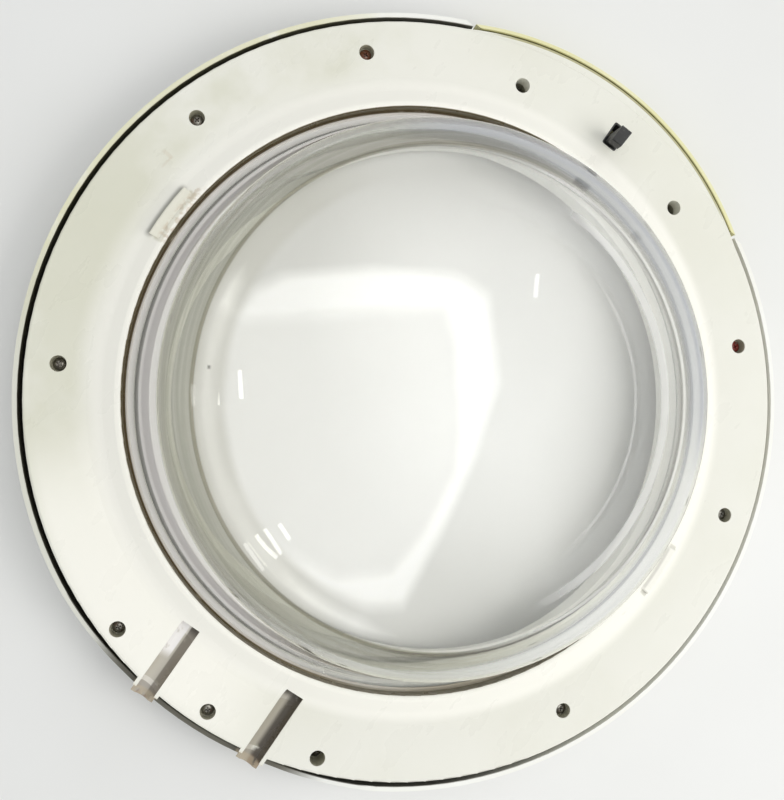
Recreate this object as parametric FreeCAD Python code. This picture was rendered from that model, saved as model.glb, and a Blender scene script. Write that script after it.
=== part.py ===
import FreeCAD, Part

import math
import os

from FreeCAD import Vector

# Washing machine door lying on its front face, millimetres.
# Origin: centre of the front ring, in the plane of its flat crest.
# +X to the hinge, -X to the handle and hook, +Y up the door in use, +Z to the drum.

# Front ring
rim_radius = 235.0          # outside of the rim
rim_height = 34.0           # back edge of the rim above the crest
rim_round = 20.0            # rounding from the rim into the crest
crest_width = 47.0          # from the rim to where the crest turns back
crest_round = 40.0
front_width = 75.0          # from the rim to the mouth
mouth_height = 14.0
mouth_round = 4.0
front_wall = 2.6

# Glass bowl and its seat
glass_wall = 5.0
glass_sink = 1.0            # glass flange below the back ring's flat face
seat_width = 20.0           # from the mouth to the edge of the glass flange
flange_clearance = 0.4
seat_fence = 4.0            # height of the fence round the flange
flange_width = 11.5
bowl_root_round = 4.0
bowl_depth = 71.0           # face of the glass above its flange
bowl_taper = 19.2           # how far the wall leans in over that depth
bowl_crown_round = 18.0
bowl_inner_round = 20.0     # inside that corner, where the glass is thicker
bowl_face_edge = 21.5       # start of the domed face from the wall
bowl_dome = 3.0             # rise of the face at its centre

# Back ring
rim_gap = 3.0               # open gap inside the rim
back_rise = 2.0             # flat face above the rim
back_wall = 2.4
back_edge_round = 1.6
skirt_depth = 12.0
glass_gap = 6.5             # between the glass and the collar
collar_top_width = 3.4
collar_slope = 12.0
collar_height = 7.0         # collar above the flat face
collar_foot_round = 18.0
collar_top_round = 4.0
opening_round = 1.2

# Raised pads of the back ring, one up and one down
pad_width = 8.0             # from the collar's top edge
pad_half_angle = 5.1        # degrees
pad_drop = 1.0              # pad below the collar's top
pad_round = 1.2

# Hinge channels
channel_radius = 6.0
channel_wall = 2.2
channel_inset = 5.4         # inner end, from the collar's foot
channel_spacing = 72.6
channel_overhang = 4.2      # floor past the back ring's edge
channel_floor = 2.0         # height of that overhang's sides above the channel's bottom
hinge_cut_half = 50.0       # half the width of the lowered rim
hinge_cut_run = 60.0        # length of each ramp beside it
hinge_cut_depth = 8.0
hinge_cut_clearance = 1.2   # under the channels

# Screws: pan heads in round wells
screw_head_radius = 3.7
screw_head_height = 2.4
screw_head_bevel = 0.9
screw_shank_radius = 1.9
screw_bite = 12.0           # length in the boss
screw_end_room = 1.0        # hole past the screw's end
thread_clearance = 0.06
well_radius = 4.6
well_wall = 1.8
well_floor = 2.4
well_hole_radius = 2.3
boss_radius = 4.6
ring_screw_inset = 18.3     # from the back ring's edge
ring_screw_angles = (60.0, 105.0, 135.0)   # each on both sides of X
ring_screw_sink = 4.0       # head below the flat face
hinge_screw_inset = 9.3
hinge_screw_angle = 18.4
hinge_screw_sinks = (6.0, 4.0, 12.0)       # lower, middle and upper
latch_screw_inset = 24.8
latch_screw_angle = 162.4
latch_screw_sink = 13.0

# Handle: a crescent of the rim that turns on a pin along its chord
handle_bulge = 4.0          # past the rim at its middle
handle_end_inset = 1.5      # inside the rim at its ends
handle_depth = 29.0         # from the rim to the chord, edge of the front ring
handle_gap = 2.0
handle_lip_gap = 1.6        # between the handle's lip and the back ring
handle_land_drop = 0.5      # back ring's lower land along the handle
pivot_inset = 2.0           # pin axis from the chord
pivot_height = 7.5
pin_radius = 2.0
pin_fit = 0.05
eye_radius = 3.6
lug_spacing = 40.0
lug_width = 4.0
lug_reach = 12.0            # along the handle's front wall
lug_side_gap = 0.5
lug_round = 1.0
lug_knee_round = 2.0
bracket_width = 4.0
bracket_radius = 3.8
bracket_foot = 7.0
bracket_setback = 0.2       # foot from the chord
drive_bar_size = 3.6
drive_bar_height = 16.0     # above the pin
drive_gap = 0.3

# Hook
hook_width = 7.2
hook_offset = 4.2           # middle of the hook above the door's X axis
hook_hub_radius = 4.0
hook_slot_length = 16.4
hook_slot_width = 10.2
hook_slot_round = 1.4
hook_slot_gap = 1.5         # between the hook and the slot's inner end
hook_shank = 5.2            # shank thickness in the slot
hook_inner = 3.5            # shank's inner face from the pin's axis
hook_taper_start = 17.0     # above the pin
hook_taper_end = 24.0
hook_taper_round = 3.0
hook_rise = 20.5            # tip above the back ring
hook_barb = 4.4             # reach of the barb past the shank
hook_barb_under = 10.0      # underside of the barb above the back ring
hook_nose = 6.4             # height of the barb's blunt nose
hook_round = 0.8

# Black case that lines the hook's slot
case_fit = 0.1              # round the case in the slot
case_wall = 1.0
case_depth = 9.5            # below the back ring's face
case_sink = 0.3             # top edge below that face
case_flange = 1.6           # flange under the back ring
case_flange_wall = 1.2

# Torsion spring beside the hook
spring_wire = 1.2
spring_coil_radius = 4.0
spring_pitch = 1.5
spring_turns = 3.25
spring_step_count = 20      # straight lengths in one turn
spring_flat_count = 8       # flats round the wire
spring_side_gap = 0.6
spring_leg = 13.0
spring_foot = 7.0
spring_leg_gap = 0.3

# Sizes that follow from those above
crest_inner_radius = rim_radius - crest_width
mouth_radius = rim_radius - front_width
back_radius = rim_radius - front_wall - rim_gap
back_height = rim_height + back_rise
flange_top = back_height - glass_sink
glass_seat_height = flange_top - glass_wall
flange_radius = mouth_radius + seat_width
bowl_root_radius = flange_radius - flange_width
bowl_crown_radius = bowl_root_radius - bowl_taper
bowl_crown_height = flange_top + bowl_depth
opening_radius = bowl_root_radius + glass_gap
collar_top_radius = opening_radius + collar_top_width
collar_foot_radius = collar_top_radius + collar_slope
pad_outer_radius = collar_top_radius + pad_width
channel_start = collar_foot_radius - channel_inset
channel_end = back_radius + channel_overhang
handle_chord = rim_radius - handle_depth
back_under = back_height - back_wall
pivot_x = -(handle_chord - pivot_inset)
collar_top = back_height + collar_height
RIGHT_CORNER = 1            # mitred corners along the wire
AXIS_Z = Vector(0, 0, 1)
AXIS_Y = Vector(0, 1, 0)
ORIGIN = Vector(0, 0, 0)


def unit(a, b):
    """Direction from point a to point b in the section plane."""
    length = math.hypot(b[0] - a[0], b[1] - a[1])
    return ((b[0] - a[0]) / length, (b[1] - a[1]) / length)


def turn_of(d1, d2):
    """Signed turn from direction d1 to d2, in radians."""
    cross = d1[0] * d2[1] - d1[1] * d2[0]
    return math.atan2(cross, d1[0] * d2[0] + d1[1] * d2[1])


def rounded(points):
    """Edges through (x, z, corner radius) points, with an arc at each rounded corner."""
    edges = []
    here = Vector(points[0][0], 0, points[0][1])
    for before, corner, after in zip(points, points[1:], points[2:]):
        d1 = unit(before, corner)
        d2 = unit(corner, after)
        turn = turn_of(d1, d2)
        cut = corner[2] * math.tan(abs(turn) / 2)
        start = Vector(corner[0] - d1[0] * cut, 0, corner[1] - d1[1] * cut)
        edges.append(Part.makeLine(here, start))
        here = start
        if corner[2] > 0:
            end = Vector(corner[0] + d2[0] * cut, 0, corner[1] + d2[1] * cut)
            side = math.copysign(1, turn)
            reach = side * corner[2]
            centre = Vector(start.x - d1[1] * reach, 0, start.z + d1[0] * reach)
            spoke = Vector(corner[0], 0, corner[1]) - centre
            middle = centre + spoke * (corner[2] / spoke.Length)
            edges.append(Part.Arc(start, middle, end).toShape())
            here = end
    edges.append(Part.makeLine(here, Vector(points[-1][0], 0, points[-1][1])))
    return edges


def beside(points, gap):
    """The line that runs a gap to the left of the given one, with corners rounded to match."""
    dirs = [unit(a, b) for a, b in zip(points, points[1:])]
    line = []
    for i, (x, z, radius) in enumerate(points):
        d1 = dirs[max(i - 1, 0)]
        d2 = dirs[min(i, len(dirs) - 1)]
        turn = turn_of(d1, d2)
        scale = gap / math.cos(turn / 2)
        mid = math.atan2(d1[1], d1[0]) + turn / 2
        inner = max(radius - math.copysign(1, turn) * gap, 0) if radius > 0 else 0
        line.append((x - math.sin(mid) * scale, z + math.cos(mid) * scale, inner))
    return line


def end_of(edges):
    """Last point of a run of edges."""
    return edges[-1].Vertexes[-1].Point


def outline(points):
    """Closed section through (x, z, corner radius) points, starting and ending on a straight side."""
    first, second = points[0], points[1]
    start = ((first[0] + second[0]) / 2, (first[1] + second[1]) / 2, 0)
    return Part.Face(Part.Wire(Part.__sortEdges__(rounded([start] + points[1:] + [first, start]))))


def strip(points, wall):
    """Section of even wall along a line, the wall on its left, or on its right when negative."""
    near = rounded(points)
    far = rounded(beside(points, wall))
    caps = [Part.makeLine(near[0].Vertexes[0].Point, far[0].Vertexes[0].Point),
            Part.makeLine(end_of(near), end_of(far))]
    return Part.Face(Part.Wire(Part.__sortEdges__(near + far + caps)))


def outline_between(path):
    """Everything above an open section line, up to the height of its first point."""
    top = path[0][1]
    corner = Vector(path[-1][0], 0, top)
    run = rounded(path)
    run += [Part.makeLine(end_of(run), corner), Part.makeLine(corner, run[0].Vertexes[0].Point)]
    return Part.Face(Part.Wire(Part.__sortEdges__(run)))


def turned(face):
    """Section turned once about Z."""
    return face.revolve(ORIGIN, AXIS_Z, 360)


def pipe(outer, inner, bottom, top):
    """Straight tube about Z."""
    tube = Part.makeCylinder(outer, top - bottom, Vector(0, 0, bottom))
    return tube.cut(Part.makeCylinder(inner, top - bottom, Vector(0, 0, bottom)))


def across(face, width, y=0.0):
    """Section extruded along Y, centred on y."""
    return face.translated(Vector(0, y - width / 2, 0)).extrude(Vector(0, width, 0))


def rod(radius, width, x, z, y=0.0):
    """Cylinder along Y, centred on y."""
    return Part.makeCylinder(radius, width, Vector(x, y - width / 2, z), AXIS_Y)


def polar(circle, angle):
    """Point on a circle about Z."""
    return Vector(circle * math.cos(math.radians(angle)), circle * math.sin(math.radians(angle)), 0)


def both_sides(angles):
    """Each angle above and below X."""
    return [sign * angle for angle in angles for sign in (1, -1)]


RING_SCREWS = [(polar(back_radius - ring_screw_inset, angle), ring_screw_sink)
               for angle in both_sides(ring_screw_angles)]
HINGE_SCREWS = [(polar(back_radius - hinge_screw_inset, angle), sink)
                for angle, sink in zip((-hinge_screw_angle, 0.0, hinge_screw_angle), hinge_screw_sinks)]
LATCH_SCREWS = [(polar(back_radius - latch_screw_inset, angle), latch_screw_sink)
                for angle in both_sides([latch_screw_angle])]
ALL_SCREWS = RING_SCREWS + HINGE_SCREWS + LATCH_SCREWS


def head_seat(sink):
    """Height of a well's floor, where the screw head sits."""
    return back_height - sink - screw_head_height


def boss_top(sink):
    """Height of the boss under a well."""
    return head_seat(sink) - well_floor


def handle_circle():
    """Radius and centre x of the arc that bulges past the rim between the chord's ends."""
    half = math.sqrt((rim_radius - handle_end_inset) ** 2 - handle_chord ** 2)
    rise = rim_radius + handle_bulge - handle_chord
    radius = (half ** 2 + rise ** 2) / (2 * rise)
    return radius, radius - rim_radius - handle_bulge


def beyond_chord(offset):
    """Everything on the handle's side of a line beside the chord."""
    size = 2 * rim_radius
    return Part.makeBox(size, 2 * size, 4 * rim_height,
                        Vector(-handle_chord - offset - size, -size, -rim_height))


def pin_bracket(y):
    """Upright ear on the front ring that carries the handle's pin."""
    foot_x = pivot_x - pivot_inset + bracket_setback
    foot = Part.makeBox(bracket_foot, bracket_width, pivot_height - front_wall / 2,
                        Vector(foot_x, y - bracket_width / 2, front_wall / 2))
    ear = rod(bracket_radius, bracket_width, pivot_x, pivot_height, y)
    return foot.fuse(ear)


def front_ring():
    """Domed front ring with its glass seat, screw bosses and the ears for the handle's pin."""
    path = [(rim_radius, rim_height, 0), (rim_radius, 0, rim_round),
            (crest_inner_radius, 0, crest_round), (mouth_radius, mouth_height, mouth_round),
            (mouth_radius, glass_seat_height, 0)]
    ring = turned(strip(path, -front_wall))
    fence_radius = flange_radius + flange_clearance
    ledge = pipe(fence_radius + front_wall, mouth_radius,
                 glass_seat_height - front_wall, glass_seat_height)
    fence = pipe(fence_radius + front_wall, fence_radius, glass_seat_height - front_wall / 2,
                 glass_seat_height + seat_fence)
    ring = ring.fuse([ledge, fence])
    ring = ring.cut(beyond_chord(0))
    y_ear = lug_spacing / 2 + lug_width / 2 + lug_side_gap + bracket_width / 2
    bosses = Part.makeCompound([Part.makeCylinder(boss_radius, boss_top(sink), place)
                                for place, sink in ALL_SCREWS])
    room = turned(outline_between(path))
    ring = ring.fuse([bosses.common(room), pin_bracket(y_ear), pin_bracket(-y_ear)])
    depth = screw_bite + screw_end_room
    holes = [Part.makeCylinder(screw_shank_radius + thread_clearance, depth,
                               place + Vector(0, 0, boss_top(sink) - depth))
             for place, sink in ALL_SCREWS]
    ring = ring.cut(holes + [rod(pin_radius + pin_fit, 2 * lug_spacing, pivot_x, pivot_height)])
    return ring.cut(hinge_cut()).removeSplitter()


def hinge_cut():
    """Space cleared in the rim for the hinge arms, with a ramp at each end."""
    low = rim_height - hinge_cut_depth
    wide = hinge_cut_half + hinge_cut_run
    profile = [(wide, rim_height), (hinge_cut_half, low), (-hinge_cut_half, low), (-wide, rim_height)]
    corners = [Vector(0, y, z) for y, z in profile]
    slab = Part.Face(Part.makePolygon(corners + corners[:1])).extrude(Vector(2 * rim_radius, 0, 0))
    inside = Part.makeCylinder(back_radius, 2 * rim_height)
    notches = [rod_x(channel_radius + channel_wall + hinge_cut_clearance, back_radius, 2 * rim_radius, y)
               for y in channel_places()]
    return slab.cut(inside).fuse(notches)


def below(height):
    """Everything under a height."""
    size = 4 * rim_radius
    return Part.makeBox(size, size, size, Vector(-size / 2, -size / 2, height - size))


def channel_places():
    """Y of the two hinge channels."""
    return (-channel_spacing / 2, channel_spacing / 2)


def rod_x(radius, start, end, y):
    """Cylinder along X at the height of the back ring's face."""
    return Part.makeCylinder(radius, end - start, Vector(start, y, back_height), Vector(1, 0, 0))


def handle_land():
    """Part of the back ring that follows the handle's bulge, a little below the flat face."""
    radius, centre = handle_circle()
    edge = radius - front_wall - handle_lip_gap
    top = back_height - handle_land_drop
    land = Part.makeCylinder(edge, top - back_under, Vector(centre, 0, back_under))
    return land.cut(Part.makeCylinder(back_radius - back_wall, back_height))


def inside_slope(radius):
    """Height of the middle of the collar's sloping wall."""
    rise = collar_height * (collar_foot_radius - radius) / collar_slope
    return back_height + rise - back_wall / 2


def raised_pad(angle):
    """Pad that stands on the collar's slope, level across its top."""
    top = collar_top - pad_drop
    section = outline([(collar_top_radius, inside_slope(collar_top_radius), 0), (collar_top_radius, top, 0),
                       (pad_outer_radius, top, pad_round),
                       (pad_outer_radius, inside_slope(pad_outer_radius), 0)])
    pad = section.revolve(ORIGIN, AXIS_Z, 2 * pad_half_angle)
    pad.rotate(ORIGIN, AXIS_Z, angle - pad_half_angle)
    return pad


def slot_block(margin, bottom, top):
    """Upright block with the slot's outline, larger by a margin all round."""
    length = hook_slot_length + 2 * margin
    width = hook_slot_width + 2 * margin
    inner_end = pivot_x + hook_inner + hook_slot_gap + margin
    block = Part.makeBox(length, width, top - bottom,
                         Vector(inner_end - length, hook_offset - width / 2, bottom))
    upright = [edge for edge in block.Edges if abs(edge.tangentAt(edge.FirstParameter).z) > 0.9]
    return block.makeFillet(hook_slot_round + margin, upright)


def latch_case():
    """Black case in the hook's slot: a thin rounded frame with a flange under the back ring."""
    bottom = back_height - case_depth
    frame = slot_block(-case_fit, bottom, back_height - case_sink)
    flange = slot_block(case_flange, back_under - case_flange_wall, back_under)
    return frame.fuse(flange).cut(slot_block(-case_fit - case_wall, 0, 2 * back_height)).removeSplitter()


def back_ring():
    """Back ring with its collar, screw wells, pads, hook slot and the two half-round hinge channels."""
    path = [(back_radius, back_height - skirt_depth, 0), (back_radius, back_height, back_edge_round),
            (collar_foot_radius, back_height, collar_foot_round),
            (collar_top_radius, collar_top, collar_top_round),
            (opening_radius, collar_top, opening_round), (opening_radius, flange_top, 0)]
    ring = turned(strip(path, back_wall))
    troughs = []
    for y in channel_places():
        bar = rod_x(channel_radius + channel_wall, channel_start - channel_wall, back_radius, y)
        floor = rod_x(channel_radius + channel_wall, channel_start, channel_end, y)
        floor_top = back_height - channel_radius + channel_floor
        troughs += [bar.common(below(back_height)), floor.common(below(floor_top))]
    cups = [Part.makeCylinder(well_radius + well_wall, back_height - back_wall / 2 - boss_top(sink),
                              place + Vector(0, 0, boss_top(sink))) for place, sink in ALL_SCREWS]
    ring = ring.fuse([handle_land()] + troughs + cups + [raised_pad(90), raised_pad(-90)])
    cuts = [rod_x(channel_radius, channel_start, 2 * rim_radius, y) for y in channel_places()]
    for place, sink in ALL_SCREWS:
        cuts.append(Part.makeCylinder(well_radius, back_height, place + Vector(0, 0, head_seat(sink))))
        cuts.append(Part.makeCylinder(well_hole_radius, back_height, place))
    slot = slot_block(0, back_height - 2 * back_wall, 2 * back_height)
    return ring.cut(cuts + [slot]).removeSplitter()


def glass_bowl():
    """Pressed glass bowl: flange, tapered wall and a slightly domed face."""
    face_start = bowl_crown_radius - bowl_face_edge
    path = [(flange_radius, flange_top, 0), (bowl_root_radius, flange_top, bowl_root_round),
            (bowl_crown_radius, bowl_crown_height, bowl_crown_round), (face_start, bowl_crown_height, 0)]
    inside = beside(path, glass_wall)
    inside[2] = (*inside[2][:2], bowl_inner_round)
    near = rounded(path)
    far = rounded(inside)
    edges = near + far
    for run, drop in ((near, 0), (far, glass_wall)):
        rim = end_of(run)
        apex = Vector(0, 0, bowl_crown_height + bowl_dome - drop)
        ball = (rim.x ** 2 + bowl_dome ** 2) / (2 * bowl_dome)
        half = math.asin(rim.x / ball) / 2
        half_way = Vector(ball * math.sin(half), 0, apex.z - ball * (1 - math.cos(half)))
        edges.append(Part.Arc(rim, half_way, apex).toShape())
    edges.append(Part.makeLine(near[0].Vertexes[0].Point, far[0].Vertexes[0].Point))
    edges.append(Part.makeLine(Vector(0, 0, bowl_crown_height + bowl_dome),
                               Vector(0, 0, bowl_crown_height + bowl_dome - glass_wall)))
    return turned(Part.Face(Part.Wire(Part.__sortEdges__(edges))))


def handle_lug(y):
    """Arm of the handle that turns on the pin and carries the drive bar."""
    bar_x = drive_bar_place()
    edge = -handle_chord - handle_gap
    arm = outline([(edge - lug_reach, front_wall / 2, 0), (edge, front_wall / 2, 0),
                   (edge, pivot_height - eye_radius, 0), (pivot_x, pivot_height - eye_radius, 0),
                   (bar_x + drive_bar_size, pivot_height, lug_round),
                   (bar_x + drive_bar_size, pivot_height + drive_bar_height, lug_round),
                   (bar_x, pivot_height + drive_bar_height, lug_round),
                   (pivot_x - eye_radius, pivot_height + eye_radius, lug_knee_round)])
    return across(arm, lug_width, y).fuse(rod(eye_radius, lug_width, pivot_x, pivot_height, y))


def drive_bar_place():
    """X of the drive bar's face beside the hook."""
    return pivot_x + hook_inner + drive_gap


def handle():
    """Crescent of the rim with a bulge, two arms to the pin and the bar that drives the hook."""
    radius, centre = handle_circle()
    path = [(radius, rim_height, 0), (radius, 0, rim_round), (radius / 2, 0, 0)]
    shell = turned(strip(path, -front_wall)).translated(Vector(centre, 0, 0))
    shell = shell.common(beyond_chord(handle_gap))
    bar_foot = pivot_height + drive_bar_height - drive_bar_size
    bar = Part.makeBox(drive_bar_size, lug_spacing, drive_bar_size,
                       Vector(drive_bar_place(), -lug_spacing / 2, bar_foot))
    body = shell.fuse([handle_lug(lug_spacing / 2), handle_lug(-lug_spacing / 2), bar])
    return body.cut(rod(pin_radius + pin_fit, 2 * lug_spacing, pivot_x, pivot_height)).removeSplitter()


def handle_pin():
    """Steel pin that the handle and the hook turn on."""
    length = lug_spacing + lug_width + 2 * lug_side_gap + 2 * bracket_width
    return rod(pin_radius, length, pivot_x, pivot_height)


def hook():
    """Flat hook on the pin, with a barb that points to the glass and a sloping lead-in."""
    inner = pivot_x + hook_inner
    root = pivot_x - spring_coil_radius + spring_wire / 2 + spring_leg_gap
    top = back_height + hook_rise
    under = back_height + hook_barb_under
    nose = inner + hook_barb
    section = outline([(root, pivot_height, 0),
                       (root, pivot_height + hook_taper_start, hook_taper_round),
                       (inner - hook_shank, pivot_height + hook_taper_end, hook_taper_round),
                       (inner - hook_shank, top, hook_round),
                       (nose, under + hook_nose, hook_round), (nose, under, hook_round),
                       (inner, under, hook_round), (inner, pivot_height, 0)])
    hub = rod(hook_hub_radius, hook_width, pivot_x, pivot_height, hook_offset)
    blade = across(section, hook_width, hook_offset).fuse(hub)
    return blade.cut(rod(pin_radius + pin_fit, 2 * lug_spacing, pivot_x, pivot_height)).removeSplitter()


def wire_coil():
    """Close coil about Y in short straight lengths, from the leg at -X to the foot at -Z."""
    points = []
    for step in range(round(spring_turns * spring_step_count) + 1):
        turn = step / spring_step_count
        angle = math.pi + 2 * math.pi * turn
        points.append(Vector(spring_coil_radius * math.cos(angle), spring_pitch * turn,
                             spring_coil_radius * math.sin(angle)))
    along = points[1] - points[0]
    sideways = AXIS_Y.cross(along).normalize()
    upright = along.cross(sideways).normalize()
    corners = []
    flats = round(spring_flat_count)
    for side in range(flats + 1):
        angle = 2 * math.pi * side / flats
        corners.append(points[0] + sideways * (spring_wire / 2 * math.cos(angle))
                       + upright * (spring_wire / 2 * math.sin(angle)))
    return Part.makePolygon(points).makePipeShell([Part.makePolygon(corners)], True, False, RIGHT_CORNER)


def hook_spring():
    """Torsion spring on the pin: a close coil, a leg behind the hook and a foot on the front ring."""
    beside_hook = hook_width / 2 + spring_side_gap + spring_wire / 2
    start = hook_offset + beside_hook
    height = spring_pitch * spring_turns
    coil = wire_coil().translated(Vector(pivot_x, start, pivot_height))
    leg_x = pivot_x - spring_coil_radius
    leg_top = pivot_height + spring_leg
    leg = Part.makeCylinder(spring_wire / 2, spring_leg, Vector(leg_x, start, pivot_height))
    knee = Part.makeSphere(spring_wire / 2, Vector(leg_x, start, leg_top))
    tip_end = hook_offset - hook_width / 2
    tip = Part.makeCylinder(spring_wire / 2, start - tip_end, Vector(leg_x, tip_end, leg_top), AXIS_Y)
    foot_start = Vector(pivot_x, start + height, pivot_height - spring_coil_radius)
    foot = Part.makeCylinder(spring_wire / 2, spring_foot, foot_start, Vector(1, 0, 0))
    return coil.fuse([leg, knee, tip, foot])


def screw_head_section():
    """Half section of a pan head with a bevelled crown."""
    corners = [(0, 0), (screw_head_radius, 0), (screw_head_radius, screw_head_height - screw_head_bevel),
               (screw_head_radius - screw_head_bevel, screw_head_height), (0, screw_head_height)]
    line = [Vector(x, 0, z) for x, z in corners]
    return Part.Face(Part.makePolygon(line + line[:1]))


def screws(places):
    """Pan-head screws standing in their wells."""
    made = []
    for place, sink in places:
        seat = head_seat(sink)
        head = turned(screw_head_section()).translated(place + Vector(0, 0, seat))
        reach = well_floor + screw_bite
        shank = Part.makeCylinder(screw_shank_radius, reach, place + Vector(0, 0, seat - reach))
        made.append(head.fuse(shank).removeSplitter())
    return Part.makeCompound(made)


def main():
    """Build every piece and write it out."""
    os.makedirs("parts", exist_ok=True)
    pieces = {
        "front_ring": front_ring(),
        "back_ring": back_ring(),
        "glass_bowl": glass_bowl(),
        "handle": handle(),
        "handle_pin": handle_pin(),
        "hook": hook(),
        "latch_case": latch_case(),
        "hook_spring": hook_spring(),
        "ring_screws": screws(RING_SCREWS),
        "hinge_screws": screws(HINGE_SCREWS),
        "latch_screws": screws(LATCH_SCREWS),
    }
    for name, shape in pieces.items():
        shape.exportStep("parts/" + name + ".step")
        print(name, len(shape.Solids), "solids", round(shape.Volume / 1000, 2), "cm3")


main()
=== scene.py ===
"""Looks of a washing machine door that lies on its front face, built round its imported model."""

import logging
import math
from dataclasses import dataclass
from enum import Enum

import bmesh
import bpy
from mathutils import Matrix, Vector

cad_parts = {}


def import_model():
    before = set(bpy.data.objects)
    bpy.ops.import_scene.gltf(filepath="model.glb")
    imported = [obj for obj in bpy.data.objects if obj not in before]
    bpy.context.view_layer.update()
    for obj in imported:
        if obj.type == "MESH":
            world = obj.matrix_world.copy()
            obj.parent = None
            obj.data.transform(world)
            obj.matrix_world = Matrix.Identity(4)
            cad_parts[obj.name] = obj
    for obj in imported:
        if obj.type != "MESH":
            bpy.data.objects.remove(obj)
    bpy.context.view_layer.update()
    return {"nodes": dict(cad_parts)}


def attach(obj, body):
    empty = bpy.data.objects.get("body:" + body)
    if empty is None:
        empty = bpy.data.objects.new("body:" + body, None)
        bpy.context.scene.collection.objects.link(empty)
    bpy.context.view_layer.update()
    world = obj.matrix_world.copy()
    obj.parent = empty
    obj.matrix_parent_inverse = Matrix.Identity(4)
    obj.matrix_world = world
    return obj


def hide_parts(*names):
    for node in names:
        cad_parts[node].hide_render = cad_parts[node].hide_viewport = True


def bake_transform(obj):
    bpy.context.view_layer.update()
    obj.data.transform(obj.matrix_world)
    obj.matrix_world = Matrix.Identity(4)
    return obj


LOG = logging.getLogger("door")
MM = 0.001
Colour = tuple[float, float, float]
Place = tuple[float, float, float]
Span = tuple[float, float]
Socket = bpy.types.NodeSocket

# From this cover on, a stain is even and isn't broken up into clouds.
EVEN = 1.3
# Levels of the noise between which a cloud fades in, and how far a full cover lowers them.
CLOUD_START = 0.75
CLOUD_END = 0.95
CLOUD_REACH = 0.5
CLOUD_DETAIL = 5.0
# Windows of a stain that leave nothing out (millimetres, degrees).
ANY_RADIUS = (-50.0, 400.0)
ANY_HEIGHT = (-50.0, 200.0)
ALL_ROUND = 180.0
# Points of a spun mesh that lie closer than this are one point (metres).
MERGE = 1e-6


def tone(red: int, green: int, blue: int) -> Colour:
    """Turn a screen colour into the linear colour that shaders use.

    Args:
        red: red from 0 to 255.
        green: green from 0 to 255.
        blue: blue from 0 to 255.

    Returns:
        The same colour in linear light.
    """
    def linear(level: int) -> float:
        """One channel in linear light."""
        share = level / 255
        return share / 12.92 if share <= 0.04045 else ((share + 0.055) / 1.055) ** 2.4

    return linear(red), linear(green), linear(blue)


class Body(Enum):
    """Bodies of the door that the new pieces ride on."""

    DOOR = "door"
    HOOK = "hook"


class Axis(Enum):
    """Directions in the door's frame."""

    X = (1.0, 0.0, 0.0)
    Y = (0.0, 1.0, 0.0)
    Z = (0.0, 0.0, 1.0)


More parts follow.
